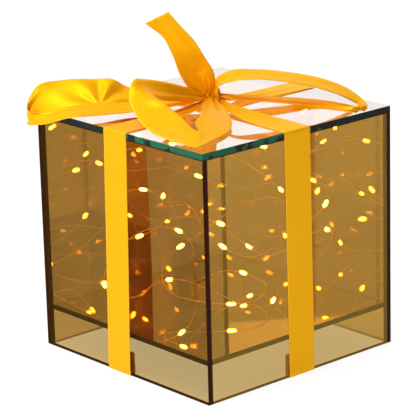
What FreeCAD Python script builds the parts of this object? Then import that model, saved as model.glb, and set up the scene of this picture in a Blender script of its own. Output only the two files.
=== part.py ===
import FreeCAD, Part
import math
import os

# A light-up gift box: a cube of amber half-mirror glass with a mirror floor, a wire string of
# small lamps inside, a battery case hidden in the skirt below the floor, and a satin ribbon
# that runs down the four faces and is tied in a bow on top.
# Frame: X to the right along the front face, Y to the back, Z up. The origin is the centre of
# the open base, on the surface that the box stands on.

Vec = FreeCAD.Vector

# Glass box, mm
width = 150.0            # X, outside
depth = 150.0            # Y, outside
height = 149.6           # rim to the plate's upper face
side_glass = 3.0         # thickness of the four walls
plate_glass = 3.8        # thickness of the top plate
floor_glass = 3.0        # thickness of the mirror floor
floor_height = 23.0      # standing surface to the underside of the mirror floor
glue_line = 0.15         # adhesive between two glass faces
floor_joint = 0.5        # clear silicone round the mirror floor
glass_bevel = 0.3        # ground edges

# Ribbon
ribbon_width = 20.2
ribbon_thick = 0.3
ribbon_gap = 0.05        # between the ribbon and the glass that it lies on
tuck_height = 14.0       # length of strap that is stuck inside the skirt
knot_radius = 6.0
knot_height = 9.0
knot_round = 2.6
knot_rise = 1.2          # air between the plate and the knot

# Cells and battery case
cell_count = 3
cell_dia = 14.5
cell_length = 50.5       # with its nub
nub_dia = 5.5
nub_length = 1.4
cell_clear = 0.25        # round each cell
cell_round = 0.5
spring_length = 4.2      # pressed between the contact and the cell
spring_radius = 3.6      # to the middle of its wire
spring_wire = 0.3        # radius of the wire
spring_coils = 2.5
contact_thick = 0.4
contact_size = 10.0
case_wall = 1.4
case_roof = 1.2
bay_length = 11.5        # room for the switch and the timer board
cover_thick = 1.4
tongue_depth = 0.7       # of the cover's edges into the grooves
tongue_thick = 0.7
slide_clear = 0.15
grip_ribs = 4            # on the cover's free end
grip_rib_height = 0.4
grip_rib_width = 1.0
grip_rib_pitch = 2.4
grip_inset = 5.0         # from the cover's free end to the first rib
pad_thick = 1.0          # foam tape between the case and the floor panel
pad_width = 9.0
pad_inset = 6.0

# Board, switch and lead
board_thick = 1.0
board_clear = 0.7
board_drop = 3.0         # case roof to board
board_length = 34.0
core_grip = 0.4          # how much the board's hole is smaller than the lead, in radius
post_radius = 1.2
post_inset = 10.0        # from the bay's end walls
post_offset = 2.5        # from the bay's middle
switch_length = 8.6
switch_depth = 3.8
switch_height = 3.6
knob_length = 2.2
knob_height = 1.8
knob_proud = 1.8
knob_travel = 4.0
knob_clear = 0.2
knob_root = 1.4          # how far the knob reaches into the switch
knob_bevel = 0.25
chip_radius = 2.2
chip_from_lead = 8.0
lead_dia = 2.0
lead_clear = 0.2
lead_from_side = 6.0     # from the case's left face to the lead
lead_along_bay = 24.0    # from the case's front face to the lead
wire_hole_dia = 8.0      # in the mirror floor
plug_flange_dia = 11.0
plug_flange_thick = 0.8

# Light string
string_dia = 0.7
drop_length = 5.0
drop_dia = 2.8
drop_every = 3           # a lamp sits in the middle of each third run
string_route = [
    (-44, 20, 41), (-44, 20, 54), (-52, 2, 66), (-60, -22, 60), (-55, -46, 45), (-33, -60, 36),
    (-6, -56, 42), (14, -62, 58), (38, -60, 66), (58, -44, 54), (62, -18, 40), (52, 4, 46),
    (60, 28, 60), (52, 52, 72), (26, 61, 66), (4, 52, 48), (-20, 58, 37), (-44, 54, 48),
    (-60, 36, 66), (-58, 8, 84), (-62, -20, 92), (-48, -44, 80), (-24, -56, 72), (0, -46, 84),
    (22, -58, 98), (46, -54, 104), (60, -32, 92), (56, -4, 80), (64, 22, 88), (56, 48, 102),
    (32, 60, 96), (8, 56, 82), (-16, 60, 90), (-40, 50, 104), (-58, 28, 110), (-54, 0, 118),
    (-60, -28, 116), (-44, -50, 124), (-18, -58, 118), (6, -50, 124), (30, -56, 130), (54, -44, 122),
    (60, -16, 114), (50, 10, 122), (56, 38, 128), (36, 56, 120), (10, 48, 112), (-12, 34, 124),
    (-34, 20, 112), (-38, -6, 96), (-20, -28, 88), (6, -24, 98), (28, -34, 84), (34, -12, 66),
    (24, 14, 58), (36, 34, 72), (18, 40, 92), (-8, 26, 82), (-20, 6, 66), (-30, -20, 52),
    (-10, -34, 38), (16, -22, 35), (34, -2, 34), (24, 22, 37), (0, 34, 34), (-18, 24, 40),
    (-20, 6, 36),
]

# What follows from those sizes
rim_lift = ribbon_thick + 2 * ribbon_gap          # the glass stands on the ribbon's folds
box_top = rim_lift + height
wall_top = box_top - plate_glass - glue_line
half_x = width / 2
half_y = depth / 2
floor_top = floor_height + floor_glass
ribbon_off = ribbon_gap + ribbon_thick / 2
ribbon_neck = knot_radius * 1.25                  # width of a strap where it enters the knot
knot_low = box_top + knot_rise
lead_x, lead_y, lead_top = string_route[0]        # the string starts in the end of the lead
case_corner_x = lead_x - lead_from_side
case_corner_y = lead_y - lead_along_bay
cell_pitch = cell_dia + 2 * cell_clear
cell_bay = cell_length + spring_length + 2 * contact_thick
case_length = 3 * case_wall + bay_length + cell_bay
case_width = 2 * case_wall + cell_count * cell_pitch
case_height = case_roof + cell_pitch + cover_thick + slide_clear
case_top = floor_height - pad_thick
case_low = case_top - case_height
case_right = case_corner_x + case_length
case_back = case_corner_y + case_width
bay_end = case_corner_x + case_wall + bay_length  # where the wall beside the cells starts
cells_start = bay_end + case_wall + contact_thick
cells_end = case_right - case_wall - contact_thick
cell_axis_z = case_top - case_roof - cell_pitch / 2
board_top = case_top - case_roof - board_drop


def block(low, high):
    return Part.makeBox(high[0] - low[0], high[1] - low[1], high[2] - low[2], Vec(*low))


def rod(radius, start, length, along):
    return Part.makeCylinder(radius, length, Vec(*start), Vec(*along))


def frame_ring(outer_x, outer_y, wall, low, high):
    outer = block((-outer_x, -outer_y, low), (outer_x, outer_y, high))
    return outer.cut(block((wall - outer_x, wall - outer_y, low), (outer_x - wall, outer_y - wall, high)))


def group(shapes):
    return Part.makeCompound(shapes)


def skin(sections):
    """A closed solid of flat triangles through rows of corners, split the same way on both broad sides."""
    count = len(sections[0])
    faces = [Part.Face(Part.makePolygon(end + end[:1])) for end in (sections[0], sections[-1])]
    for here, there in zip(sections, sections[1:]):
        for side in range(count):
            corner = (side + 1) % count
            quad = [here[side], here[corner], there[corner], there[side]]
            if side >= count / 2:
                quad = quad[1:] + quad[:1]
            for flat in ((quad[0], quad[1], quad[2]), (quad[0], quad[2], quad[3])):
                faces.append(Part.Face(Part.makePolygon([*flat, flat[0]])))
    shell = Part.makeShell(faces)
    shell.sewShape()
    solid = Part.makeSolid(shell)
    return solid.reversed() if solid.Volume < 0 else solid


def export(node, shape):
    if not shape.isValid():
        print("not valid:", node)
    shape.exportStep("parts/" + node + ".step")


# ---- glass ----

def glass(low, high):
    pane = block(low, high)
    return pane.makeChamfer(glass_bevel, pane.Edges)


def long_wall(front):
    low_y = -half_y if front else half_y - side_glass
    return glass((-half_x, low_y, rim_lift), (half_x, low_y + side_glass, wall_top))


def short_wall(left):
    low_x = -half_x if left else half_x - side_glass
    reach = half_y - side_glass - glue_line
    return glass((low_x, -reach, rim_lift), (low_x + side_glass, reach, wall_top))


def top_plate():
    return glass((-half_x, -half_y, box_top - plate_glass), (half_x, half_y, box_top))


def mirror_floor():
    reach_x = half_x - side_glass - floor_joint
    reach_y = half_y - side_glass - floor_joint
    pane = block((-reach_x, -reach_y, floor_height), (reach_x, reach_y, floor_top))
    return pane.cut(rod(wire_hole_dia / 2, (lead_x, lead_y, floor_height), floor_glass, (0, 0, 1)))


def corner_glue():
    strips = []
    for x in (-half_x, half_x - side_glass):
        for y in (-half_y + side_glass, half_y - side_glass - glue_line):
            strips.append(block((x, y, rim_lift), (x + side_glass, y + glue_line, wall_top)))
    return group(strips)


def plate_glue():
    return frame_ring(half_x, half_y, side_glass, wall_top, wall_top + glue_line)


def floor_silicone():
    return frame_ring(half_x - side_glass, half_y - side_glass, floor_joint, floor_height, floor_top)


def wire_plug():
    radius = wire_hole_dia / 2
    plug = rod(radius, (lead_x, lead_y, floor_height), floor_glass, (0, 0, 1))
    flange = rod(plug_flange_dia / 2, (lead_x, lead_y, floor_top), plug_flange_thick, (0, 0, 1))
    bore = rod(lead_dia / 2, (lead_x, lead_y, floor_height), floor_glass + plug_flange_thick, (0, 0, 1))
    return plug.fuse(flange).cut(bore).removeSplitter()


# ---- battery case ----

def cell_y(index):
    return case_corner_y + case_wall + cell_pitch * (index + 0.5)


def nub_first(index):
    return index % 2 == 0


def battery_case():
    shell = block((case_corner_x, case_corner_y, case_low), (case_right, case_back, case_top))
    in_y = (case_corner_y + case_wall, case_back - case_wall)
    roof = case_top - case_roof
    bay = block((case_corner_x + case_wall, in_y[0], case_low), (bay_end, in_y[1], roof))
    cells = block((bay_end + case_wall, in_y[0], case_low), (case_right - case_wall, in_y[1], roof))
    above_cover = case_low + cover_thick + slide_clear
    mouth = block((bay_end, in_y[0], case_low), (case_right, in_y[1], above_cover))
    groove_low = case_low + (cover_thick - tongue_thick) / 2 - slide_clear
    groove_high = groove_low + tongue_thick + 2 * slide_clear
    groove = block((bay_end, in_y[0] - tongue_depth - slide_clear, groove_low),
                   (case_right, in_y[1] + tongue_depth + slide_clear, groove_high))
    slot_low = board_top - board_thick - (switch_height + knob_height) / 2 - knob_clear
    slot_from = knob_x() - knob_clear
    slot = block((slot_from, case_corner_y, slot_low),
                 (slot_from + knob_length + knob_travel + 2 * knob_clear, in_y[0],
                  slot_low + knob_height + 2 * knob_clear))
    hole = rod(lead_dia / 2 + lead_clear, (lead_x, lead_y, roof), case_roof, (0, 0, 1))
    case = shell
    for space in (bay, cells, mouth, groove, slot, hole):
        case = case.cut(space)
    return case.fuse(group(board_posts())).removeSplitter()


def bay_middle():
    return case_corner_x + case_wall + bay_length / 2


def board_posts():
    places = (case_corner_y + case_wall + post_inset, case_back - case_wall - post_inset)
    x = bay_middle() + post_offset
    return [rod(post_radius, (x, y, board_top), board_drop, (0, 0, 1)) for y in places]


def battery_cover():
    reach = (case_corner_y + case_wall + slide_clear, case_back - case_wall - slide_clear)
    far = (case_right, reach[1], case_low + cover_thick)
    plate = block((bay_end + slide_clear, reach[0], case_low), far)
    tongue_low = case_low + (cover_thick - tongue_thick) / 2
    tongues = block((bay_end + slide_clear, reach[0] - tongue_depth, tongue_low),
                    (case_right, reach[1] + tongue_depth, tongue_low + tongue_thick))
    cover = plate.fuse(tongues)
    for index in range(grip_ribs):
        x = case_right - grip_inset - grip_rib_pitch * index
        low = (x, cell_y(0), case_low - grip_rib_height)
        cover = cover.fuse(block(low, (x + grip_rib_width, cell_y(cell_count - 1), case_low)))
    return cover.removeSplitter()


def bay_cover():
    low = (case_corner_x + case_wall, case_corner_y + case_wall, case_low)
    return block(low, (bay_end, case_back - case_wall, case_low + cover_thick))


def cell(index):
    y = cell_y(index)
    can_length = cell_length - nub_length
    nub_x = cells_start if nub_first(index) else cells_end - nub_length
    can_x = cells_start + nub_length if nub_first(index) else nub_x - can_length
    nub = rod(nub_dia / 2, (nub_x, y, cell_axis_z), nub_length, (1, 0, 0))
    can = rod(cell_dia / 2, (can_x, y, cell_axis_z), can_length, (1, 0, 0))
    edges = [edge for edge in can.Edges if edge.Curve.TypeId == "Part::GeomCircle"]
    return can.makeFillet(cell_round, edges).fuse(nub).removeSplitter()


def coil(radius, rise, wire_radius):
    """A spring wire of six flats along a helix that starts at the origin and rises in Z."""
    steps = round(spring_coils * 20)
    sections = []
    for step in range(steps + 1):
        turn = 2 * math.pi * spring_coils * step / steps
        outward = Vec(math.cos(turn), math.sin(turn), 0)
        middle = outward * radius + Vec(0, 0, rise * step / steps)
        corners = [math.radians(flat) for flat in range(0, 360, 60)]
        sections.append([middle + outward * (wire_radius * math.cos(corner))
                         + Vec(0, 0, wire_radius * math.sin(corner)) for corner in corners])
    return skin(sections)


def contact_springs():
    springs = []
    rise = spring_length - 2 * spring_wire
    for index in range(cell_count):
        base = cells_end if nub_first(index) else cells_start
        sign = -1 if nub_first(index) else 1
        spring = coil(spring_radius, rise, spring_wire)
        spring.rotate(Vec(0, 0, 0), Vec(0, 1, 0), 90 * sign)
        spring.translate(Vec(base + sign * spring_wire, cell_y(index), cell_axis_z))
        springs.append(spring)
    return group(springs)


def contact_plates():
    plates = []
    for index in range(cell_count):
        for x in (bay_end + case_wall, cells_end):
            y = cell_y(index) - contact_size / 2
            low = (x, y, cell_axis_z - contact_size / 2)
            plates.append(block(low, (x + contact_thick, y + contact_size, cell_axis_z + contact_size / 2)))
    return group(plates)


# ---- board, switch, lead ----

def switch_x():
    return case_corner_x + case_wall + (bay_length - switch_length) / 2


def knob_x():
    return switch_x() + (switch_length - knob_length - knob_travel) / 2


def timer_board():
    low_x = case_corner_x + case_wall + board_clear
    low_y = case_corner_y + case_wall
    low_z = board_top - board_thick
    board = block((low_x, low_y, low_z), (bay_end - board_clear, low_y + board_length, board_top))
    return board.cut(rod(lead_dia / 2 - core_grip, (lead_x, lead_y, low_z), board_thick, (0, 0, 1)))


def timer_chip():
    """A low dome of resin: the cap that the board's face cuts from a ball of twice its radius."""
    x = bay_middle()
    y = lead_y - chip_from_lead
    face = board_top - board_thick
    ball = 2 * chip_radius
    dome = Part.makeSphere(ball, Vec(x, y, face + math.sqrt(3) * chip_radius))
    return dome.common(block((x - ball, y - ball, face - ball), (x + ball, y + ball, face)))


def switch_body():
    low_y = case_corner_y + case_wall
    high = board_top - board_thick
    far = (switch_x() + switch_length, low_y + switch_depth, high)
    body = block((switch_x(), low_y, high - switch_height), far)
    slot_low = high - (switch_height + knob_height) / 2 - knob_clear
    slot = block((knob_x() - knob_clear, low_y, slot_low),
                 (knob_x() + knob_length + knob_travel + knob_clear, low_y + knob_root + knob_clear,
                  slot_low + knob_height + 2 * knob_clear))
    return body.cut(slot)


def switch_knob():
    low_z = board_top - board_thick - (switch_height + knob_height) / 2
    tip_y = case_corner_y - knob_proud
    knob = block((knob_x(), tip_y, low_z),
                 (knob_x() + knob_length, case_corner_y + case_wall + knob_root, low_z + knob_height))
    tip_edges = [edge for edge in knob.Edges if edge.BoundBox.YMax < tip_y + knob_bevel]
    return knob.makeChamfer(knob_bevel, tip_edges)


def lead_sleeve():
    return rod(lead_dia / 2, (lead_x, lead_y, board_top), lead_top - board_top, (0, 0, 1))


def foam_pads():
    pads = []
    for y in (case_corner_y + pad_inset, case_back - pad_inset - pad_width):
        low = (bay_end + case_wall, y, case_top)
        pads.append(block(low, (case_right - pad_inset, y + pad_width, case_top + pad_thick)))
    return group(pads)


# ---- light string ----

def string_path():
    points = [Vec(*point) for point in string_route]
    edges = []
    radii = []
    last = points[0]
    for before, here, after in zip(points, points[1:], points[2:]):
        arriving = (here - before).normalize()
        leaving = (after - here).normalize()
        half_turn = arriving.getAngle(leaving) / 2
        cut = 0.45 * min((here - before).Length, (after - here).Length)
        radii.append(cut / math.tan(half_turn))
        start = here - arriving * cut
        end = here + leaving * cut
        inward = (leaving - arriving).normalize()
        middle = here + inward * (radii[-1] / math.cos(half_turn) - radii[-1])
        edges.append(Part.LineSegment(last, start).toShape())
        edges.append(Part.Arc(start, middle, end).toShape())
        last = end
    edges.append(Part.LineSegment(last, points[-1]).toShape())
    print("string radii from", round(min(radii), 1), "to", round(max(radii), 1))
    return Part.Wire(edges)


def string_tube():
    path = string_path()
    heading = Vec(*string_route[1]) - Vec(*string_route[0])
    profile = Part.Wire([Part.makeCircle(string_dia / 2, Vec(*string_route[0]), heading)])
    tube = path.makePipeShell([profile], True, False)
    straight = math.pi * string_dia ** 2 / 4 * path.Length
    print("string length", round(path.Length), "volume share", round(tube.Volume / straight, 4))
    return tube


def lamp_drop(start, end):
    half = drop_length / 2
    bore = string_dia / 2
    rim_top = Vec(bore, 0, half)
    rim_low = Vec(bore, 0, -half)
    outline = Part.Wire([Part.Arc(rim_low, Vec(drop_dia / 2, 0, 0), rim_top).toShape(),
                         Part.LineSegment(rim_top, rim_low).toShape()])
    drop = Part.Face(outline).revolve(Vec(0, 0, 0), Vec(0, 0, 1), 360)
    turn = FreeCAD.Rotation(Vec(0, 0, 1), end - start)
    drop.Placement = FreeCAD.Placement((start + end) * 0.5, turn)
    return drop


def lamp_drops():
    points = [Vec(*point) for point in string_route]
    runs = list(zip(points, points[1:]))
    return group([lamp_drop(*run) for run in runs[1::drop_every]])


# ---- ribbon ----

def band(edges):
    """A thin strip between two rows of edge points, with mitred bends."""
    pairs = [(Vec(*a), Vec(*b)) for a, b in edges]
    middles = [(a + b) * 0.5 for a, b in pairs]
    headings = [(after - before).normalize() for before, after in zip(middles, middles[1:])]
    sections = []
    for (a, b), arriving, leaving in zip(pairs, headings[:1] + headings, headings + headings[-1:]):
        normal = (arriving + leaving).cross(b - a).normalize()
        lift = normal * (ribbon_thick / 2 / max(math.cos(arriving.getAngle(leaving) / 2), 0.5))
        sections.append([a + lift, b + lift, b - lift, a - lift])
    return skin(sections)


def turned(point, quarter):
    x, y, z = point
    return [(x, y, z), (-y, x, z), (-x, -y, z), (y, -x, z)][quarter]


def outside_knot(strip):
    rest = strip.cut(knot())
    return max(rest.Solids, key=lambda solid: solid.Volume)


def strap(quarter, foot_shift, top_shift):
    """One face's strap in the front face's place, then turned by quarters about Z."""
    reach = half_x if quarter % 2 else half_y
    inside = side_glass - reach + ribbon_off
    outside = -reach - ribbon_off
    low = ribbon_thick / 2
    high = box_top + ribbon_off
    half = ribbon_width / 2
    neck = ribbon_neck / 2
    stations = [
        (foot_shift, inside, tuck_height, half),
        (foot_shift, inside, low, half),
        (foot_shift, outside, low, half),
        (top_shift, outside, high, half),
        (top_shift * 0.6, -reach * 0.55, high + 0.2, half * 0.95),
        (0.0, -knot_radius * 1.8, knot_low + 0.6, neck),
        (0.0, -knot_radius * 0.6, knot_low + 1.4, neck),
    ]
    edges = [(turned((x - h, y, z), quarter), turned((x + h, y, z), quarter)) for x, y, z, h in stations]
    return outside_knot(band(edges))


def knot():
    body = Part.makeCylinder(knot_radius, knot_height, Vec(0, 0, knot_low))
    rims = [edge for edge in body.Edges if edge.Curve.TypeId == "Part::GeomCircle"]
    return body.makeFillet(knot_round, rims)


def over_plate(x, y, rise):
    return (x, y, box_top + rise)


def past_corner(out_x, out_y, rise):
    return (-half_x - out_x, -half_y - out_y, box_top + rise)


def left_loop():
    """Stands on edge behind, folds down at the corner and comes back flat on the plate."""
    edges = [
        (over_plate(-2, -2, 5.8), over_plate(-2, -2, 9.4)),
        (over_plate(-12, -14, 3.8), over_plate(-12, -14, 11)),
        (over_plate(-24, -28, 1.8), over_plate(-24, -28, 14)),
        (over_plate(-38, -44, 1), over_plate(-38, -44, 18)),
        (over_plate(-53, -60, 1), over_plate(-54, -61, 21)),
        (past_corner(-11, -2, 1.5), past_corner(-6, 3, 19)),
        (past_corner(-7, 7, 3), past_corner(2, 8, 12)),
        (past_corner(-11, 13, 1), past_corner(1, 11, 4)),
        (past_corner(-23, 13, -1), past_corner(-9, 6, 1)),
        (over_plate(-41, -79, 1), over_plate(-54, -68, 1)),
        (over_plate(-26, -52, 1), over_plate(-37, -49, 1)),
        (over_plate(-8, -18, 2), over_plate(-12.5, -18, 2)),
        (over_plate(0, -4, 3.2), over_plate(-4, -4.5, 3.2)),
    ]
    return outside_knot(band(edges))


def front_loop():
    """Arches towards the front corner and comes back along its right side."""
    edges = [
        (over_plate(-1, -3, 9), over_plate(1, -3, 5)),
        (over_plate(-6, -16, 13), over_plate(3, -18, 5)),
        (over_plate(-13, -29, 18), over_plate(2, -35, 9)),
        (over_plate(-19, -42, 20), over_plate(-4, -48, 13)),
        (over_plate(-16, -56, 15), over_plate(2, -54, 14)),
        (over_plate(-2, -64, 7), over_plate(15, -56, 14)),
        (over_plate(16, -69, 2), over_plate(31, -55, 9)),
        (over_plate(38, -69, 1.2), over_plate(46, -53, 9)),
        (over_plate(60, -64, 1.2), over_plate(53, -46, 8)),
        (over_plate(62, -48, 1.2), over_plate(46, -37, 9)),
        (over_plate(48, -30, 2), over_plate(30, -25, 9)),
        (over_plate(27, -15, 4), over_plate(14, -15, 10)),
        (over_plate(6, -3, 5), over_plate(3, -4, 9)),
    ]
    return outside_knot(band(edges))


def right_loop():
    """A long low arch towards the far right corner that comes back along the plate."""
    edges = [
        (over_plate(1, 3, 8.5), over_plate(3, 1, 8.5)),
        (over_plate(0, 15, 16), over_plate(14, 3, 14)),
        (over_plate(12, 29, 20), over_plate(27, 16, 18)),
        (over_plate(27, 46, 18), over_plate(42, 33, 16)),
        (over_plate(42, 62, 13), over_plate(57, 49, 12)),
        (over_plate(52, 71, 7), over_plate(64, 59, 7)),
        (over_plate(53, 72, 2.5), over_plate(65, 60, 2.5)),
        (over_plate(41, 58, 1.2), over_plate(54, 46, 1.2)),
        (over_plate(22, 35, 5), over_plate(32, 25, 4)),
        (over_plate(8, 14, 6.5), over_plate(14, 8, 6)),
        (over_plate(2, 5, 6), over_plate(5, 2, 6)),
    ]
    return outside_knot(band(edges))


def upright_tail():
    """Stands up from the knot, leans left and ends in a slanting cut."""
    edges = [
        (over_plate(-5, -1, 8.5), over_plate(-1, 2, 8.5)),
        (over_plate(-14, -9, 12), over_plate(0, 3, 13)),
        (over_plate(-17, -14, 22), over_plate(0, 0, 24)),
        (over_plate(-20, -19, 35), over_plate(-3, -6, 35)),
        (over_plate(-23, -23, 45), over_plate(-7, -12, 46)),
        (over_plate(-26, -26, 50), over_plate(-11, -15, 55)),
        (over_plate(-28, -29, 54), over_plate(-14, -18, 62)),
    ]
    return outside_knot(band(edges))


os.makedirs("parts", exist_ok=True)

export("front_glass_panel", long_wall(front=True))
export("back_glass_panel", long_wall(front=False))
export("left_glass_panel", short_wall(left=True))
export("right_glass_panel", short_wall(left=False))
export("top_glass_plate", top_plate())
export("mirror_floor_panel", mirror_floor())
export("corner_glue_lines", corner_glue())
export("plate_glue_line", plate_glue())
export("floor_silicone_joint", floor_silicone())
export("wire_hole_plug", wire_plug())

export("battery_case", battery_case())
export("battery_cover", battery_cover())
export("switch_bay_cover", bay_cover())
for number in range(cell_count):
    export("battery_cell_" + str(number + 1), cell(number))
export("contact_springs", contact_springs())
export("contact_plates", contact_plates())
export("foam_tape_pads", foam_pads())

export("timer_board", timer_board())
export("timer_chip", timer_chip())
export("slide_switch_body", switch_body())
export("slide_switch_knob", switch_knob())
export("lead_sleeve", lead_sleeve())

export("light_string_wire", string_tube())
export("lamp_drops", lamp_drops())

export("ribbon_strap_front", strap(0, foot_shift=-4.7, top_shift=-1.2))
export("ribbon_strap_right", strap(1, foot_shift=-1.2, top_shift=-2.3))
export("ribbon_strap_back", strap(2, foot_shift=1.5, top_shift=0.5))
export("ribbon_strap_left", strap(3, foot_shift=-1.0, top_shift=1.0))
export("bow_knot", knot())
export("bow_loop_left", left_loop())
export("bow_loop_front", front_loop())
export("bow_loop_right", right_loop())
export("bow_tail_upright", upright_tail())
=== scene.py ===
import math
import bpy
import numpy as np
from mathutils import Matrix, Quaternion, Vector


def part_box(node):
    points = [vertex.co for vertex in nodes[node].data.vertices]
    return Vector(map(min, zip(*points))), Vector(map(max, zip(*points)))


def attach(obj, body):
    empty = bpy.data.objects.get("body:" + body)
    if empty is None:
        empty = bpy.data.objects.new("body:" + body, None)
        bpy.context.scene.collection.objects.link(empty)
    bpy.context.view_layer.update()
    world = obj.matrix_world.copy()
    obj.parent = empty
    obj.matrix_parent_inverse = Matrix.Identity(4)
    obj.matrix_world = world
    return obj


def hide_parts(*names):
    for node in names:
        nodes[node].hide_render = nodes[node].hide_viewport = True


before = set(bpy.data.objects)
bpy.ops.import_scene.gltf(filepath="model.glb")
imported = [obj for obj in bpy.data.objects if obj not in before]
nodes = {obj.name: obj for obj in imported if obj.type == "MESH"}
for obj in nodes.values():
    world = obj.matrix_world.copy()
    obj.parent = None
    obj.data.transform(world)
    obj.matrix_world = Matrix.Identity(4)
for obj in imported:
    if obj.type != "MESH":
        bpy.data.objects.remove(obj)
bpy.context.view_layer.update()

# A glass gift box with lamps on a wire and a satin bow. Metres; ribbon stations are in millimetres.
mm = 0.001
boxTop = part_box("top_glass_plate")[1].z
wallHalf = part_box("back_glass_panel")[1].y
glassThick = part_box("front_glass_panel")[1].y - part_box("front_glass_panel")[0].y


cameraSet = {"azimuth": 48.67, "elevation": 16.718, "roll": -1.501, "distance": 1.397,
             "target": (-.00499, 0, .084807), "lens": 196.82}
floorSet = {"size": 12.0, "colour": (.22, .22, .22), "glow": .84}
skySet = {"bright": 1.12, "dim": .05, "darkFrom": .0, "darkTo": .45}
lampSets = [
    {"name": "keySoftbox", "place": (.2, -1.5, 1.25), "size": .55, "power": 4},
    {"name": "topSoftbox", "place": (.1, -.7, 1.7), "size": .7, "power": 12},
    {"name": "leftSoftbox", "place": (-1.3, -.9, 1.0), "size": .7, "power": 6},
]


def makeCamera(s):
    a, e = math.radians(s["azimuth"]), math.radians(s["elevation"])
    back = Vector((math.sin(a) * math.cos(e), -math.cos(a) * math.cos(e), math.sin(e)))
    data = bpy.data.cameras.new("camera")
    data.lens = s["lens"]
    data.sensor_width = 36
    camera = bpy.data.objects.new("camera", data)
    camera.location = Vector(s["target"]) + back * s["distance"]
    camera.rotation_mode = "QUATERNION"
    roll = Quaternion((0, 0, 1), math.radians(s["roll"]))
    camera.rotation_quaternion = (-back).to_track_quat("-Z", "Y") @ roll
    bpy.context.scene.collection.objects.link(camera)
    bpy.context.scene.camera = camera


def makeNode(tree, kind, inputs=None, **settings):
    # inputs holds plain values or sockets; settings are the node's own
    node = tree.nodes.new(kind)
    for key, value in settings.items():
        setattr(node, key, value)
    for key, value in (inputs or {}).items():
        if isinstance(value, bpy.types.NodeSocket):
            tree.links.new(value, node.inputs[key])
        else:
            node.inputs[key].default_value = value
    return node


def newMaterial(name):
    material = bpy.data.materials.new(name)
    material.use_nodes = True
    material.node_tree.nodes.clear()
    return material, material.node_tree


def closeMaterial(tree, shader):
    makeNode(tree, "ShaderNodeOutputMaterial", {"Surface": shader})


def makeSky(s):
    world = bpy.data.worlds.new("studio")
    world.use_nodes = True
    tree = world.node_tree
    tree.nodes.clear()
    way = makeNode(tree, "ShaderNodeTexCoord").outputs["Generated"]
    side = makeNode(tree, "ShaderNodeSeparateXYZ", {0: way}).outputs["X"]
    level = makeNode(tree, "ShaderNodeMapRange",
                     {"Value": side, "From Min": s["darkFrom"], "From Max": s["darkTo"],
                                                  "To Min": s["bright"], "To Max": s["dim"]},
                     interpolation_type="SMOOTHSTEP").outputs[0]
    sky = makeNode(tree, "ShaderNodeBackground", {"Color": (1, .99, .975, 1), "Strength": level})
    makeNode(tree, "ShaderNodeOutputWorld", {"Surface": sky.outputs[0]})
    bpy.context.scene.world = world


def makeLamp(s):
    data = bpy.data.lights.new(s["name"], "AREA")
    data.size = s["size"]
    data.energy = s["power"]
    lamp = bpy.data.objects.new(s["name"], data)
    lamp.location = s["place"]
    lamp.rotation_euler = (Vector((0, 0, .1)) - Vector(s["place"])).to_track_quat("-Z", "Y").to_euler()
    bpy.context.scene.collection.objects.link(lamp)


def makeFloor(s):
    r = s["size"] / 2
    mesh = bpy.data.meshes.new("studioFloor")
    mesh.from_pydata([(-r, -r, 0), (r, -r, 0), (r, r, 0), (-r, r, 0)], [], [(0, 1, 2, 3)])
    floor = bpy.data.objects.new("studioFloor", mesh)
    bpy.context.scene.collection.objects.link(floor)
    material, tree = newMaterial("paleFloor")
    paint = makeNode(tree, "ShaderNodeBsdfPrincipled",
                     {"Base Color": (*s["colour"], 1), "Roughness": .9, "Specular IOR Level": .1,
                      "Emission Color": (1, 1, 1, 1), "Emission Strength": s["glow"]})
    closeMaterial(tree, paint.outputs[0])
    mesh.materials.append(material)


makeCamera(cameraSet)
makeSky(skySet)
for lampSet in lampSets:
    makeLamp(lampSet)
makeFloor(floorSet)
scene = bpy.context.scene
scene.view_settings.view_transform = "Standard"
scene.cycles.transparent_max_bounces = 32
scene.cycles.max_bounces = 16
scene.cycles.glossy_bounces = 10
print("camera, light and floor are set")


# One pane lets this share of white light through; its two faces take half of the tint each.
amberSet = {"through": (.537, .395, .179), "film": .40, "filmColour": (1.0, .80, .46),
            "gold": (1.0, .62, .12),
            "edge": (.050, .012, .004), "forLight": (.93, .88, .78)}
onFaceFrom = .9  # a face counts as broad when its normal points this far along the thin axis


def half(colour):
    return (*[math.sqrt(c) for c in colour], 1)


def objectPlace(tree):
    place = makeNode(tree, "ShaderNodeTexCoord").outputs["Object"]
    return makeNode(tree, "ShaderNodeSeparateXYZ", {0: place}).outputs, place


def mathNode(tree, operation, *values):
    return makeNode(tree, "ShaderNodeMath", dict(enumerate(values)), operation=operation).outputs[0]


def mixShaders(tree, share, first, second):
    return makeNode(tree, "ShaderNodeMixShader", {0: share, 1: first, 2: second}).outputs[0]


def clearForLight(tree, shader, colour):
    # shadow and bounce rays pass almost freely, so that what is inside stays lit
    path = makeNode(tree, "ShaderNodeLightPath").outputs
    soft = mathNode(tree, "MAXIMUM", path["Is Shadow Ray"], path["Is Diffuse Ray"])
    clear = makeNode(tree, "ShaderNodeBsdfTransparent", {0: colour})
    return mixShaders(tree, soft, shader, clear.outputs[0])


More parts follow.
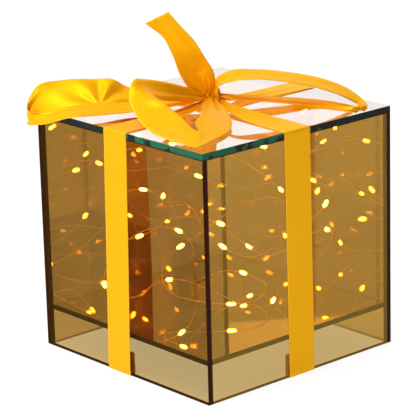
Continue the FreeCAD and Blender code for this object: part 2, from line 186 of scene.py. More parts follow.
def amberPane(name, thinAxis, outsideGold, s=amberSet):
    # half-mirror film on the inner face, clear amber body, dark ground edges
    material, tree = newMaterial(name)
    xyz, place = objectPlace(tree)
    geometry = makeNode(tree, "ShaderNodeNewGeometry").outputs
    normal = makeNode(tree, "ShaderNodeSeparateXYZ", {0: geometry["Normal"]}).outputs
    onFace = mathNode(tree, "GREATER_THAN", mathNode(tree, "ABSOLUTE", normal[thinAxis]), onFaceFrom)
    depth = mathNode(tree, "ABSOLUTE", xyz[thinAxis])
    inner = mathNode(tree, "LESS_THAN", depth, wallHalf - glassThick / 2)
    facing = mathNode(tree, "SUBTRACT", 1, geometry["Backfacing"])
    cloud = makeNode(tree, "ShaderNodeTexNoise",
                     {"Vector": place, "Scale": 9.0, "Detail": 3.0}).outputs[0]
    film = mathNode(tree, "MULTIPLY", cloud, s["film"] * 2)
    share = makeNode(tree, "ShaderNodeMix", {0: inner, 2: outsideGold, 3: film}).outputs[0]
    share = mathNode(tree, "MULTIPLY", share, facing)
    clear = makeNode(tree, "ShaderNodeBsdfTransparent", {0: half(s["through"])}).outputs[0]
    mirrorIn = makeNode(tree, "ShaderNodeBsdfPrincipled",
                        {"Base Color": (*s["filmColour"], 1), "Metallic": 1.0,
                                                           "Roughness": .015}).outputs[0]
    mirrorOut = makeNode(tree, "ShaderNodeBsdfPrincipled",
                         {"Base Color": (*s["gold"], 1), "Metallic": 1.0,
                                                            "Roughness": .02}).outputs[0]
    mirror = mixShaders(tree, inner, mirrorOut, mirrorIn)
    face = mixShaders(tree, share, clear, mirror)
    grain = makeNode(tree, "ShaderNodeTexNoise", {"Vector": place, "Scale": 900.0}).outputs[0]
    rough = mathNode(tree, "MULTIPLY_ADD", grain, .3, .4)
    edge = makeNode(tree, "ShaderNodeBsdfPrincipled", {"Base Color": (*s["edge"], 1), "Roughness": rough,
                                                       "Specular IOR Level": .03}).outputs[0]
    shader = mixShaders(tree, onFace, edge, face)
    closeMaterial(tree, clearForLight(tree, shader, (*s["forLight"], 1)))
    return material


plateSet = {"through": (.80, .76, .66), "low": .30, "rise": .64, "mirror": (1.0, .925, .90),
            "edgePaintedDarkReflection": (.003, .010, .006), "edgeGreen": (.008, .13, .062),
            "forLight": (.90, .88, .84)}


def platePane(s):
    # reflects strongly at a low angle; its edges are the glass's sea green, with black stretches painted in
    # as reflection from inside the box
    material, tree = newMaterial("clearHalfMirror")
    xyz, place = objectPlace(tree)
    geometry = makeNode(tree, "ShaderNodeNewGeometry").outputs
    normal = makeNode(tree, "ShaderNodeSeparateXYZ", {0: geometry["Normal"]}).outputs
    onFace = mathNode(tree, "GREATER_THAN", mathNode(tree, "ABSOLUTE", normal["Z"]), onFaceFrom)
    facing = mathNode(tree, "SUBTRACT", 1, geometry["Backfacing"])
    slope = makeNode(tree, "ShaderNodeLayerWeight", {"Blend": .5}).outputs["Facing"]
    share = mathNode(tree, "MULTIPLY", mathNode(tree, "MULTIPLY_ADD", slope, s["rise"], s["low"]), facing)
    clear = makeNode(tree, "ShaderNodeBsdfTransparent", {0: half(s["through"])}).outputs[0]
    mirror = makeNode(tree, "ShaderNodeBsdfPrincipled", {"Base Color": (*s["mirror"], 1), "Metallic": 1.0,
                                                         "Roughness": .012}).outputs[0]
    face = mixShaders(tree, share, clear, mirror)
    # the green shows in stretches, nearer to the front corner; the black between them is painted reflection
    corner = mathNode(tree, "MULTIPLY_ADD", mathNode(tree, "SUBTRACT", xyz["X"], xyz["Y"]), 9.0, -.55)
    streak = makeNode(tree, "ShaderNodeTexNoise",
                      {"Vector": place, "Scale": 110.0, "Detail": 4.0}).outputs[0]
    green = mathNode(tree, "MULTIPLY_ADD", streak, 4.0, mathNode(tree, "SUBTRACT", corner, 2.0))
    tint = makeNode(tree, "ShaderNodeValToRGB", {0: green})
    tint.color_ramp.elements[0].color = (*s["edgePaintedDarkReflection"], 1)
    tint.color_ramp.elements[0].position = .25
    tint.color_ramp.elements[1].color = (*s["edgeGreen"], 1)
    tint.color_ramp.elements[1].position = .45
    edge = makeNode(tree, "ShaderNodeBsdfPrincipled", {"Base Color": tint.outputs[0], "Roughness": .3,
                                                       "Specular IOR Level": .12}).outputs[0]
    shader = mixShaders(tree, onFace, edge, face)
    closeMaterial(tree, clearForLight(tree, shader, (*s["forLight"], 1)))
    return material


def floorMirror():
    material, tree = newMaterial("floorMirror")
    xyz, place = objectPlace(tree)
    normal = makeNode(tree, "ShaderNodeSeparateXYZ",
                      {0: makeNode(tree, "ShaderNodeNewGeometry").outputs["Normal"]})
    upward = mathNode(tree, "GREATER_THAN", normal.outputs["Z"], .5)
    cloud = makeNode(tree, "ShaderNodeTexNoise",
                     {"Vector": place, "Scale": 14.0, "Detail": 5.0}).outputs[0]
    rough = mathNode(tree, "MULTIPLY_ADD", cloud, .02, .005)
    silver = makeNode(tree, "ShaderNodeBsdfPrincipled",
                      {"Base Color": (.86, .80, .66, 1), "Metallic": 1.0,
                                                         "Roughness": rough}).outputs[0]
    paint = makeNode(tree, "ShaderNodeBsdfPrincipled", {"Base Color": (.045, .028, .016, 1),
                                                        "Roughness": .35}).outputs[0]
    closeMaterial(tree, mixShaders(tree, upward, paint, silver))
    return material


def dressNode(name, material):
    node = nodes[name]
    node.data.materials.clear()
    node.data.materials.append(material)


frontGlass = amberPane("amberGlassFrontBack", 1, .02)
sideGlass = amberPane("amberGlassSides", 0, .13)
dressNode("front_glass_panel", frontGlass)
dressNode("back_glass_panel", frontGlass)
dressNode("left_glass_panel", sideGlass)
dressNode("right_glass_panel", sideGlass)
dressNode("top_glass_plate", platePane(plateSet))
dressNode("mirror_floor_panel", floorMirror())
print("glass is done")

stringSet = {"strand": .00030, "apart": .00017, "twist": .011, "step": .0016, "sides": 6, "length": 1.74,
             "dropLong": .0056, "dropWide": .0024, "runsBetween": 3}
stringRoute = [
    (-.044, .020, .041), (-.044, .020, .054), (-.052, .002, .066), (-.060, -.022, .060),
    (-.055, -.046, .045), (-.033, -.060, .036), (-.006, -.056, .042), (.014, -.062, .058),
    (.038, -.060, .066), (.058, -.044, .054), (.062, -.018, .040), (.052, .004, .046),
    (.060, .028, .060), (.052, .052, .072), (.026, .061, .066), (.004, .052, .048), (-.020, .058, .037),
    (-.044, .054, .048), (-.060, .036, .066), (-.058, .008, .084), (-.062, -.020, .092),
    (-.048, -.044, .080), (-.024, -.056, .072), (.000, -.046, .084), (.022, -.058, .098),
    (.046, -.054, .104), (.060, -.032, .092), (.056, -.004, .080), (.064, .022, .088),
    (.056, .048, .102), (.032, .060, .096), (.008, .056, .082), (-.016, .060, .090),
    (-.040, .050, .104), (-.058, .028, .110), (-.054, .000, .118), (-.060, -.028, .116),
    (-.044, -.050, .124), (-.018, -.058, .118), (.006, -.050, .124), (.030, -.056, .130),
    (.054, -.044, .122), (.060, -.016, .114), (.050, .010, .122), (.056, .038, .128),
    (.036, .056, .120), (.010, .048, .112), (-.012, .034, .124), (-.034, .020, .112),
    (-.038, -.006, .096), (-.020, -.028, .088), (.006, -.024, .098), (.028, -.034, .084),
    (.034, -.012, .066), (.024, .014, .058), (.036, .034, .072), (.018, .040, .092),
    (-.008, .026, .082), (-.020, .006, .066), (-.030, -.020, .052), (-.010, -.034, .038),
    (.016, -.022, .035), (.034, -.002, .034), (.024, .022, .037), (.000, .034, .034),
    (-.018, .024, .040), (-.020, .006, .036),
]


def curveLine(route):
    curve = bpy.data.curves.new("stringLine", "CURVE")
    curve.dimensions = "3D"
    curve.resolution_u = 14
    spline = curve.splines.new("NURBS")
    spline.points.add(len(route) - 1)
    for point, place in zip(spline.points, route):
        point.co = (*place, 1)
    spline.order_u = 3
    spline.use_endpoint_u = True
    holder = bpy.data.objects.new("stringLine", curve)
    line = bpy.data.meshes.new_from_object(holder)
    points = np.array([v.co for v in line.vertices])
    bpy.data.objects.remove(holder)
    bpy.data.curves.remove(curve)
    bpy.data.meshes.remove(line)
    return points


def evenly(points, step):
    gone = np.concatenate([[0], np.cumsum(np.linalg.norm(np.diff(points, axis=0), axis=1))])
    count = max(int(gone[-1] / step), 2)
    at = np.linspace(0, gone[-1], count + 1)
    return np.stack([np.interp(at, gone, points[:, k]) for k in range(3)], axis=1), at


def unit(rows):
    return rows / np.maximum(np.linalg.norm(rows, axis=-1, keepdims=True), 1e-9)


def carried(points):
    # a side direction that is carried along the line without twisting
    ways = unit(np.gradient(points, axis=0))
    side = np.cross(ways[0], (.3, .9, .2))
    sides = []
    for way in ways:
        side = side - way * side.dot(way)
        side = side / np.linalg.norm(side)
        sides.append(side)
    sides = np.array(sides)
    return sides, np.cross(ways, sides)


def newObject(name, points, faces, materials, smooth=True):
    mesh = bpy.data.meshes.new(name)
    mesh.from_pydata([tuple(p) for p in points], [], [tuple(f) for f in faces])
    for material in materials:
        mesh.materials.append(material)
    mesh.polygons.foreach_set("use_smooth", [smooth] * len(mesh.polygons))
    mesh.update()
    piece = bpy.data.objects.new(name, mesh)
    bpy.context.scene.collection.objects.link(piece)
    return piece


def tubeFaces(rings, sides, start=0):
    faces = []
    for ring in range(rings - 1):
        for k in range(sides):
            a, b = start + ring * sides + k, start + ring * sides + (k + 1) % sides
            faces.append((a, b, b + sides, a + sides))
    faces.append(tuple(start + k for k in reversed(range(sides))))
    faces.append(tuple(start + (rings - 1) * sides + k for k in range(sides)))
    return faces


def tubeAround(line, sides, radius, across, up):
    turns = np.arange(sides) * 2 * math.pi / sides
    rings = [line + radius * (across * math.cos(t) + up * math.sin(t)) for t in turns]
    return np.stack(rings, axis=1).reshape(-1, 3)


def copperWire():
    material, tree = newMaterial("lacqueredCopperPaintedGlow")
    xyz, place = objectPlace(tree)
    tone = makeNode(tree, "ShaderNodeTexNoise",
                    {"Vector": place, "Scale": 120.0, "Detail": 2.0}).outputs[0]
    colour = makeNode(tree, "ShaderNodeMix", {0: tone, 6: (.90, .42, .12, 1), 7: (1.0, .66, .30, 1)},
                      data_type="RGBA").outputs[2]
    # the orange emission is painted glow: the copper wire gives no light of its own
    wire = makeNode(tree, "ShaderNodeBsdfPrincipled",
                    {"Base Color": colour, "Metallic": .75, "Roughness": .32, "Coat Weight": .3,
                     "Emission Color": (1.0, .50, .14, 1), "Emission Strength": .22})
    closeMaterial(tree, wire.outputs[0])
    return material


def lampResin():
    # a thin glow over the bright middle of the drop
    material, tree = newMaterial("lampResin")
    xyz, place = objectPlace(tree)
    tone = makeNode(tree, "ShaderNodeTexNoise",
                    {"Vector": place, "Scale": 500.0, "Detail": 2.0}).outputs[0]
    colour = makeNode(tree, "ShaderNodeMix", {0: tone, 6: (1.0, .42, .03, 1), 7: (1.0, .62, .10, 1)},
                      data_type="RGBA").outputs[2]
    glow = makeNode(tree, "ShaderNodeBsdfPrincipled", {"Base Color": (1.0, .80, .40, 1), "Roughness": .12,
                                                       "Emission Color": colour,
                                                       "Emission Strength": 12.0}).outputs[0]
    clear = makeNode(tree, "ShaderNodeBsdfTransparent", {0: (1.0, .92, .70, 1)}).outputs[0]
    closeMaterial(tree, mixShaders(tree, .5, clear, glow))
    return material


def lampCore():
    material, tree = newMaterial("lampCore")
    xyz, place = objectPlace(tree)
    tone = makeNode(tree, "ShaderNodeTexNoise", {"Vector": place, "Scale": 700.0}).outputs[0]
    colour = makeNode(tree, "ShaderNodeMix", {0: tone, 6: (1.0, .66, .14, 1), 7: (1.0, .80, .28, 1)},
                      data_type="RGBA").outputs[2]
    core = makeNode(tree, "ShaderNodeBsdfPrincipled", {"Base Color": (.9, .85, .5, 1), "Roughness": .5,
                                                       "Emission Color": colour,
                                                       "Emission Strength": 150.0})
    closeMaterial(tree, core.outputs[0])
    return material


def makeString(s):
    line, gone = evenly(curveLine(stringRoute), s["step"])
    sides, ups = carried(line)
    angle = gone[:, None] * 2 * math.pi / s["twist"]
    offset = sides * np.cos(angle) + ups * np.sin(angle)
    points, faces = [], []
    for way in (1, -1):
        strand = line + offset * s["apart"] * way
        faces += tubeFaces(len(strand), s["sides"], len(points) * len(strand) * s["sides"])
        points.append(tubeAround(strand, s["sides"], s["strand"] / 2, sides, ups))
    wire = newObject("twistedLampWire", np.concatenate(points), faces, [copperWire()])
    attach(wire, "box")
    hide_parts("light_string_wire")
    lamps = makeLamps(s, line)
    return wire


def lathe(profile, sides):
    # profile rows are (radius, height); the solid turns about Z
    turns = np.arange(sides) * 2 * math.pi / sides
    ring = [np.cos(turns), np.sin(turns)]
    rings = [np.stack([r * ring[0], r * ring[1], np.full(sides, h)], axis=1) for r, h in profile]
    return np.concatenate(rings), tubeFaces(len(profile), sides)


def dropProfile(long, wide, rows):
    profile = []
    for row in range(rows):
        t = math.pi * row / (rows - 1)
        profile.append((wide / 2 * math.sin(t) ** .8 * (1 + .12 * math.cos(t)) + .00018,
                        -long / 2 * math.cos(t)))
    return profile


def makeLamps(s, line):
    # a drop of resin over a lit middle, on each third run of the wire
    route = np.array(stringRoute)
    middles = ((route[1:] + route[:-1]) / 2)[1::s["runsBetween"]]
    ways = unit(np.gradient(line, axis=0))
    lamps = []
    for name, share, material in (("lampResinDrops", (1.0, 1.0), lampResin()),
                                  ("lampCores", (.72, .42), lampCore())):
        points, faces = [], []
        for index, middle in enumerate(middles):
            near = int(np.argmin(np.linalg.norm(line - middle, axis=1)))
            turn = np.array(Vector(ways[near]).to_track_quat("Z", "Y").to_matrix())
            long = s["dropLong"] * share[0] * (1 + .12 * math.sin(index * 2.3))
            wide = s["dropWide"] * share[1] * (1 + .10 * math.sin(index * 1.7 + 1))
            body, bodyFaces = lathe(dropProfile(long, wide, 11), 14)
            lean = 1 + .10 * np.cos(np.arctan2(body[:, 1], body[:, 0]) * 2 + index)
            body[:, :2] *= lean[:, None]
            first = len(points) * len(body)
            faces += [tuple(i + first for i in face) for face in bodyFaces]
            points.append(body @ turn.T + line[near])
        lamp = newObject(name, np.concatenate(points), faces, [material])
        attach(lamp, "box")
        lamps.append(lamp)
    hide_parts("lamp_drops")
    return lamps


makeString(stringSet)
print("light string is done")


ribbonSet = {"wide": 20.2, "thick": .26, "colour": (1.0, .51, .004), "deep": (.97, .43, .002),
             "drift": .25}


def satinRibbon(s):
    # U runs across the ribbon, V along it in centimetres
    material, tree = newMaterial("goldenSatin")
    across = makeNode(tree, "ShaderNodeSeparateXYZ",
                      {0: makeNode(tree, "ShaderNodeUVMap", uv_map="ribbon").outputs[0]})
    u, v = across.outputs[0], across.outputs[1]
    fromMiddle = mathNode(tree, "ABSOLUTE", mathNode(tree, "SUBTRACT", u, .5))
    selvedge = mathNode(tree, "GREATER_THAN", fromMiddle, .465)
    stretch = makeNode(tree, "ShaderNodeCombineXYZ", {0: mathNode(tree, "MULTIPLY", u, 150.0),
                                                      1: mathNode(tree, "MULTIPLY", v, 3.0)}).outputs[0]
    threads = makeNode(tree, "ShaderNodeTexNoise",
                       {"Vector": stretch, "Scale": 1.0, "Detail": 3.0}).outputs[0]
    weft = makeNode(tree, "ShaderNodeTexWave", {"Vector": stretch, "Scale": 9.0, "Distortion": .6},
                    bands_direction="Y").outputs[1]
    xyz, place = objectPlace(tree)
    cloud = makeNode(tree, "ShaderNodeTexNoise",
                     {"Vector": place, "Scale": 30.0, "Detail": 2.0}).outputs[0]
    tone = mathNode(tree, "MULTIPLY_ADD", threads, .5, mathNode(tree, "MULTIPLY", cloud, .5))
    cloth = makeNode(tree, "ShaderNodeMix", {0: tone, 6: (*s["deep"], 1), 7: (*s["colour"], 1)},
                     data_type="RGBA").outputs[2]
    colour = makeNode(tree, "ShaderNodeMix", {0: mathNode(tree, "MULTIPLY", selvedge, .35), 6: cloth,
                                              7: (1.0, .60, .06, 1)}, data_type="RGBA").outputs[2]
    height = mathNode(tree, "ADD", mathNode(tree, "MULTIPLY", threads, .6),
                      mathNode(tree, "ADD", mathNode(tree, "MULTIPLY", weft, .25), selvedge))
    bump = makeNode(tree, "ShaderNodeBump",
                    {"Height": height, "Strength": .12, "Distance": .0002}).outputs[0]
    rough = mathNode(tree, "MULTIPLY_ADD", threads, .10, .32)
    way = makeNode(tree, "ShaderNodeTangent", direction_type="UV_MAP", uv_map="ribbon").outputs[0]
    satin = makeNode(tree, "ShaderNodeBsdfPrincipled",
                     {"Base Color": colour, "Metallic": .36, "Roughness": rough, "Specular IOR Level": .1,
                      "Specular Tint": (1.0, .75, .2, 1), "Anisotropic": .55, "Tangent": way,
                      "Sheen Weight": .10, "Sheen Roughness": .4, "Sheen Tint": (1.0, .60, .05, 1),
                      "Normal": bump})
    closeMaterial(tree, satin.outputs[0])
    return material


satin = satinRibbon(ribbonSet)


def through(points, steps):
    # a smooth line through the points, with more care where they are close together
    points = np.array(points, float)
    gaps = np.maximum(np.linalg.norm(np.diff(points, axis=0), axis=1), 1e-6)
    slopes = np.diff(points, axis=0) / gaps[:, None]
    ends = [slopes[0]]
    for k in range(1, len(points) - 1):
        ends.append((slopes[k - 1] * gaps[k] + slopes[k] * gaps[k - 1]) / (gaps[k - 1] + gaps[k]))
    ends.append(slopes[-1])
    line = []
    for k in range(len(gaps)):
        for t in np.arange(steps) / steps:
            h = (2 * t ** 3 - 3 * t * t + 1, t ** 3 - 2 * t * t + t, 3 * t * t - 2 * t ** 3,
                 t ** 3 - t * t)
            start = h[0] * points[k] + h[1] * gaps[k] * ends[k]
            line.append(start + h[2] * points[k + 1] + h[3] * gaps[k] * ends[k + 1])
    line.append(points[-1])
    return np.array(line)


def makeRibbon(name, leftEdge, rightEdge, s):
    # fullness says how much of the hidden width goes into pleats
    left, right = through(leftEdge, s["steps"]), through(rightEdge, s["steps"])
    middle = (left + right) / 2
    gone = np.concatenate([[0], np.cumsum(np.linalg.norm(np.diff(middle, axis=0), axis=1))])
    wide = np.linalg.norm(right - left, axis=1)
    normals = unit(np.cross(unit(np.gradient(middle, axis=0)), unit(right - left)))
    u = np.linspace(0, 1, s["columns"] + 1)
    share = (gone / gone[-1])[:, None]
    lack = np.sqrt(np.maximum(2 * ((ribbonSet["wide"] / np.maximum(wide, 1)) ** 2 - 1), 0))
    depth = wide / (2 * math.pi * s["pleats"]) * lack * s["fullness"]
    phase = s.get("phase", 0) + ribbonSet["drift"] * share
    wave = np.sin(2 * math.pi * (s["pleats"] * u[None, :] + phase))
    wave = wave + .35 * np.sin(2 * math.pi * (s["pleats"] * 1.7 * u[None, :] - 1.3 * phase + .2))
    fade = np.sin(math.pi * np.clip(u, 0, 1)) ** .3
    lift = depth[:, None] * wave * fade[None, :]
    if "fan" in s:
        # creases that spread from one point of the left edge
        fan = s["fan"]
        along = (gone - fan["at"] * gone[-1])[:, None]
        away = u[None, :] * wide[:, None] + .6
        far = np.hypot(along, away)
        soft = np.clip(far / 12, 0, 1) * np.clip(1 - np.abs(along) / fan["reach"], 0, 1)
        soft = soft * (1 - .65 * u[None, :] ** 2)
        lift += fan["depth"] * soft * np.sin(np.arctan2(along, away) * fan["folds"] / 2)
    points = left[:, None] * (1 - u)[None, :, None] + right[:, None] * u[None, :, None]
    points = points + normals[:, None] * lift[:, :, None]
    rows, columns = len(left), len(u)
    faces = []
    for i in range(rows - 1):
        for k in range(columns - 1):
            a = i * columns + k
            faces.append((a, a + 1, a + 1 + columns, a + columns))
    piece = newObject(name, points.reshape(-1, 3) * mm, faces, [satin])
    layer = piece.data.uv_layers.new(name="ribbon")
    for loop in piece.data.loops:
        i, k = divmod(loop.vertex_index, columns)
        layer.data[loop.index].uv = (u[k], gone[i] / 10)
    solid = piece.modifiers.new("cloth", "SOLIDIFY")
    solid.thickness = ribbonSet["thick"] * mm
    solid.offset = 0
    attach(piece, "box")
    return piece, gone[-1]


top = boxTop / mm
halfBox = wallHalf / mm


def quarterTurn(point, quarter):
    x, y, z = point
    return [(x, y, z), (-y, x, z), (-x, -y, z), (y, -x, z)][quarter]


strapSets = [
    {"name": "strapFront", "node": "ribbon_strap_front", "quarter": 0, "foot": -4.7, "head": -1.2},
    {"name": "strapRight", "node": "ribbon_strap_right", "quarter": 1, "foot": -1.2, "head": -2.3},
    {"name": "strapBack", "node": "ribbon_strap_back", "quarter": 2, "foot": 1.5, "head": .5},
    {"name": "strapLeft", "node": "ribbon_strap_left", "quarter": 3, "foot": -1.0, "head": 1.0},
]


def makeStrap(s):
    # up the inside of the skirt's foot, under the rim, up the face, over the plate's edge and into the knot
    out = halfBox + .21
    inside = halfBox - glassThick / mm - .21
    foot, head = s["foot"], s["head"]
    stations = [  # (sideways, outwards, up, half width)
        (foot, inside, 14.0, 10.1), (foot, inside, 8.0, 10.1), (foot, inside, 1.2, 10.1),
        (foot, inside + .25, .32, 10.1), (foot, inside + 1.2, .2, 10.1), (foot, out - 1.2, .2, 10.1),
        (foot, out - .2, .34, 10.1), (foot, out, 1.3, 10.1), (foot, out + .05, 12, 10.1),
        (foot * .8 + head * .2, out + .15, 36, 10.1), (foot * .5 + head * .5, out + .05, 75, 10.1),
        (foot * .2 + head * .8, out + .12, 115, 10.1), (head, out + .04, top - 6, 10.1),
        (head, out + .03, top - 1.0, 10.1), (head, out - .12, top - .10, 10.1),
        (head, out - .65, top + .22, 10.1), (head, out - 3, top + .30, 10.0),
        (head * .8, out - 16, top + .45, 9.8), (head * .6, out - 32, top + .7, 9.0),
        (head * .3, out - 47, top + 1.4, 7.2), (0, 17, top + 2.4, 5.0), (0, 9.5, top + 3.6, 3.7),
        (0, 4, top + 4.2, 3.4),
    ]
    left = [quarterTurn((x - h, -d, z), s["quarter"]) for x, d, z, h in stations]
    right = [quarterTurn((x + h, -d, z), s["quarter"]) for x, d, z, h in stations]
    piece, long = makeRibbon(s["name"], left, right,
                             {"steps": 6, "columns": 26, "pleats": 2.5, "fullness": .55,
                                                      "phase": .1 * s["quarter"]})
    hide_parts(s["node"])


for strapSet in strapSets:
    makeStrap(strapSet)
print("straps are done")


def onPlate(*rows):
    return [(x, y, top + rise) for x, y, rise in rows]


loopSets = [
    {"name": "loopLeft", "node": "bow_loop_left", "steps": 9, "columns": 26, "pleats": 2.0,
     "fullness": .25,
     "fan": {"at": .275, "folds": 15, "depth": 1.2, "reach": 34},
     "left": onPlate((0.8, -5.2, 6.7), (-12.8, -26.7, 2.8), (-25, -43.6, 3.3), (-35, -54, 5.4),
                     (-42.6, -63.4, 5.6), (-50.5, -72.5, 4.1), (-59.3, -81.4, -0.5), (-66.1, -87.3, -4.5),
                     (-63.9, -90.8, -4.4), (-49, -89.1, -2.1), (-36.8, -81.2, 2.2), (-25.9, -65.8, 3),
                     (-15, -44.3, 3.3), (-5.4, -21.2, 4.3), (1.9, -6.9, 6.6)),
     "right": onPlate((-0.3, -6.4, 10.4), (-19, -18.6, 11.3), (-37.1, -33.1, 12.2), (-44.3, -40.7, 17.3),
                      (-53.6, -52.1, 18.1), (-63.5, -66.2, 18.1), (-69.4, -77.1, 16.4),
                      (-69.7, -85.3, 7.1),
                      (-63, -89.9, 3.6), (-58, -84.1, 2.7), (-47.7, -72.4, 5.7), (-37.5, -56.2, 6.6),
                      (-24.8, -35.8, 6.1), (-9.8, -17.3, 6.5), (-1.5, -4.7, 7.4))},
    {"name": "loopFront", "node": "bow_loop_front", "steps": 8, "columns": 24, "pleats": 1.5,
     "fullness": .35,
     "left": onPlate((0.9, -3.5, 9.4), (-5.1, -17.9, 15.3), (-9.1, -31.5, 20.2), (-10.7, -42.4, 23.1),
                     (-10.7, -51.5, 24.5), (-9.4, -54.6, 23.1), (-5.9, -59.7, 17.4), (4.3, -64.8, 10.1),
                     (21.5, -68.7, 3.1), (48.1, -71.9, 1.7), (64.8, -69.7, 1.3), (60.2, -52.4, 1.4),
                     (51, -32.2, 1.5), (33.5, -16.4, 3.4), (5.8, -4, 7.3)),
     "right": onPlate((2.3, -6.5, 6.5), (0.1, -21.1, 7.7), (1.4, -34.7, 10.4), (3.3, -43.2, 12.9),
                      (4.5, -47.9, 15.2), (7.5, -49, 15.6), (11.3, -50.7, 15.6), (18.1, -50.5, 13),
                      (28.9, -51.2, 9.7), (40.9, -53.5, 5.6), (50.7, -55.9, 5), (41, -50, 7.1),
                      (33.4, -39, 8.6), (16.8, -23.3, 9.1), (3.4, -6.7, 8))},
    {"name": "loopRight", "node": "bow_loop_right", "steps": 7, "columns": 22, "pleats": 1.5,
     "fullness": .35,
     "left": onPlate((-2.4, 3.4, 8.9), (4.5, 2.1, 13.9), (13.8, 5.1, 17.4), (22.8, 13.8, 18.5),
                     (34.5, 27.1, 16.5), (46.6, 40.9, 12.3), (56.8, 52.5, 6.7), (63.1, 59.6, 0.9),
                     (67.3, 52.8, 0.8), (46.8, 42.2, 0.8), (27.8, 21, 4.2), (12.2, 7.8, 5.6),
                     (0.6, 2.2, 7.1)),
     "right": onPlate((-2.7, 3, 11.4), (-5.5, 8.8, 16), (0.1, 15.2, 20.1), (9.3, 27.2, 20.1),
                      (22.7, 42.5, 17.7), (36.1, 56.2, 13.7), (47.1, 67.2, 7.3), (61, 68.4, 0.8),
                      (68.9, 60.8, 0.8), (39.4, 55.3, 0.8), (16.2, 33.5, 3.4), (4.1, 16.8, 5.3),
                      (-1.2, 4.7, 7.6))},
    {"name": "tailUpright", "node": "bow_tail_upright", "steps": 8, "columns": 20, "pleats": 2.0,
     "fullness": .35,
     "left": onPlate((0, -6, 8.5), (-4.7, -14.4, 13.6), (-5.9, -19.1, 21), (-8.3, -24.2, 36.4),
                     (-12.5, -27.2, 45.9), (-17.6, -30.7, 50.7), (-21.1, -33, 53.6)),
     "right": onPlate((2.8, -2.9, 9), (7.1, -4.1, 14.9), (10.3, -7.7, 24.4), (9.2, -14.3, 35.9),
                      (5.6, -18.5, 45.1), (-0.3, -23, 53.2), (-6.7, -27.2, 61.6))},
]


def makeLoop(s):
    piece, long = makeRibbon(s["name"], s["left"], s["right"], s)
    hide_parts(s["node"])


for loopSet in loopSets:
    makeLoop(loopSet)


def makeKnot(s):
    # a pleated turn of the same ribbon round the middle
    axis = np.array((1, 1, 0)) / math.sqrt(2)
    outward = np.array((1, -1, 0)) / math.sqrt(2)
    left, right = [], []
    for k in range(s["turns"]):
        t = k / (s["turns"] - 1)
        angle = math.radians(s["start"] + s["sweep"] * t)
        radius = s["radius"] + s["grow"] * t
        place = np.array((0, 0, top + s["rise"])) + outward * radius * 1.15 * math.cos(angle)
        place[2] += radius * math.sin(angle)
        reach = s["reach"] * (1 - .18 * math.sin(angle))
        left.append(place - axis * reach)
        right.append(place + axis * reach)
    piece, long = makeRibbon(s["name"], left, right, s)
    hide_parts("bow_knot")


makeKnot({"name": "knotWrap", "turns": 15, "start": -105, "sweep": 385, "radius": 4.7, "grow": .8,
          "rise": 6.6,
          "reach": 4.6, "steps": 5, "columns": 26, "pleats": 3.0, "fullness": .8})
print("bow is done")

finishSets = {
    "darkGlue": {"low": (.030, .006, .003), "high": (.060, .014, .006), "rough": (.25, .40),
                 "grain": 300},
    "darkSilicone": {"low": (.020, .011, .006), "high": (.036, .021, .011), "rough": (.30, .45),
                     "grain": 260},
    "hotMelt": {"low": (.30, .23, .13), "high": (.40, .32, .19), "rough": (.28, .42), "grain": 420,
                "bump": .3},
    "whiteCase": {"low": (.74, .74, .71), "high": (.80, .80, .77), "rough": (.38, .52), "grain": 2600,
                  "bump": .35},
    "nickel": {"low": (.66, .63, .57), "high": (.78, .75, .69), "rough": (.18, .34), "grain": 900,
               "metal": 1.0},
    "foamTape": {"low": (.80, .80, .77), "high": (.92, .92, .89), "rough": (.85, .95), "grain": 3200,
                 "bump": .8},
    "greenBoard": {"low": (.012, .12, .05), "high": (.02, .20, .085), "rough": (.20, .32), "grain": 700,
                   "coat": .5},
    "blackResin": {"low": (.008, .008, .009), "high": (.016, .016, .017), "rough": (.12, .24),
                   "grain": 350},
    "tinnedSteel": {"low": (.50, .50, .49), "high": (.66, .66, .65), "rough": (.28, .44), "grain": 1100,
                    "metal": 1.0},
    "blackKnob": {"low": (.016, .016, .017), "high": (.030, .030, .031), "rough": (.40, .55),
                  "grain": 2600,
                  "bump": .4},
}
finishOf = {
    "corner_glue_lines": "darkGlue", "plate_glue_line": "darkGlue",
    "floor_silicone_joint": "darkSilicone",
    "wire_hole_plug": "hotMelt", "battery_case": "whiteCase", "battery_cover": "whiteCase",
    "switch_bay_cover": "whiteCase", "contact_springs": "nickel", "contact_plates": "nickel",
    "foam_tape_pads": "foamTape", "timer_board": "greenBoard", "timer_chip": "blackResin",
    "slide_switch_body": "tinnedSteel", "slide_switch_knob": "blackKnob",
}


def plainFinish(name, s):
    # fine grain in the colour, the gloss and the surface
    material, tree = newMaterial(name)
    xyz, place = objectPlace(tree)
    grain = makeNode(tree, "ShaderNodeTexNoise",
                     {"Vector": place, "Scale": s["grain"], "Detail": 3.0}).outputs[0]
    cloud = makeNode(tree, "ShaderNodeTexNoise", {"Vector": place, "Scale": s["grain"] / 20}).outputs[0]
    tone = mathNode(tree, "MULTIPLY_ADD", cloud, .7, mathNode(tree, "MULTIPLY", grain, .3))
    colour = makeNode(tree, "ShaderNodeMix", {0: tone, 6: (*s["low"], 1), 7: (*s["high"], 1)},
                      data_type="RGBA").outputs[2]
    rough = mathNode(tree, "MULTIPLY_ADD", grain, s["rough"][1] - s["rough"][0], s["rough"][0])
    bump = makeNode(tree, "ShaderNodeBump", {"Height": grain, "Strength": s.get("bump", .1),
                                             "Distance": .0001}).outputs[0]
    finish = makeNode(tree, "ShaderNodeBsdfPrincipled",
                      {"Base Color": colour, "Roughness": rough, "Metallic": s.get("metal", 0.0),
                       "Coat Weight": s.get("coat", 0.0), "Normal": bump})
    closeMaterial(tree, finish.outputs[0])
    return material


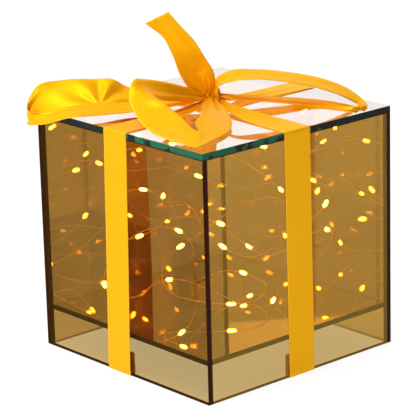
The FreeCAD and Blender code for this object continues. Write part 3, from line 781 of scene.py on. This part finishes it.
def cellJacket():
    # bare metal ends, a dark jacket with a gold band at the left third
    material, tree = newMaterial("cellJacket")
    xyz, place = objectPlace(tree)
    normal = makeNode(tree, "ShaderNodeSeparateXYZ",
                      {0: makeNode(tree, "ShaderNodeNewGeometry").outputs["Normal"]})
    end = mathNode(tree, "GREATER_THAN", mathNode(tree, "ABSOLUTE", normal.outputs["X"]), .7)
    band = mathNode(tree, "LESS_THAN", xyz["X"], cellLow.x + (cellHigh.x - cellLow.x) * .34)
    grain = makeNode(tree, "ShaderNodeTexNoise", {"Vector": place, "Scale": 600.0}).outputs[0]
    cover = makeNode(tree, "ShaderNodeMix", {0: band, 6: (.010, .045, .026, 1), 7: (.62, .36, .10, 1)},
                     data_type="RGBA").outputs[2]
    colour = makeNode(tree, "ShaderNodeMix", {0: end, 6: cover, 7: (.70, .68, .64, 1)},
                      data_type="RGBA").outputs[2]
    rough = mathNode(tree, "MULTIPLY_ADD", grain, .12, .20)
    finish = makeNode(tree, "ShaderNodeBsdfPrincipled",
                      {"Base Color": colour, "Metallic": end, "Roughness": rough})
    closeMaterial(tree, finish.outputs[0])
    return material


def leadVinyl():
    # a clear sleeve with a milky streak
    material, tree = newMaterial("clearLeadVinyl")
    xyz, place = objectPlace(tree)
    streak = makeNode(tree, "ShaderNodeTexNoise", {"Vector": place, "Scale": 200.0}).outputs[0]
    share = mathNode(tree, "MULTIPLY_ADD", streak, .3, .2)
    clear = makeNode(tree, "ShaderNodeBsdfTransparent", {0: (.95, .88, .74, 1)}).outputs[0]
    vinyl = makeNode(tree, "ShaderNodeBsdfPrincipled", {"Base Color": (.62, .48, .28, 1),
                                                        "Roughness": .25}).outputs[0]
    closeMaterial(tree, mixShaders(tree, share, clear, vinyl))
    return material


finishes = {name: plainFinish(name, finish) for name, finish in finishSets.items()}
for nodeName, finishName in finishOf.items():
    dressNode(nodeName, finishes[finishName])
cellLow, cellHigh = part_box("battery_cell_1")
jacket = cellJacket()
for number in (1, 2, 3):
    dressNode("battery_cell_" + str(number), jacket)
dressNode("lead_sleeve", leadVinyl())
print("small parts are done")
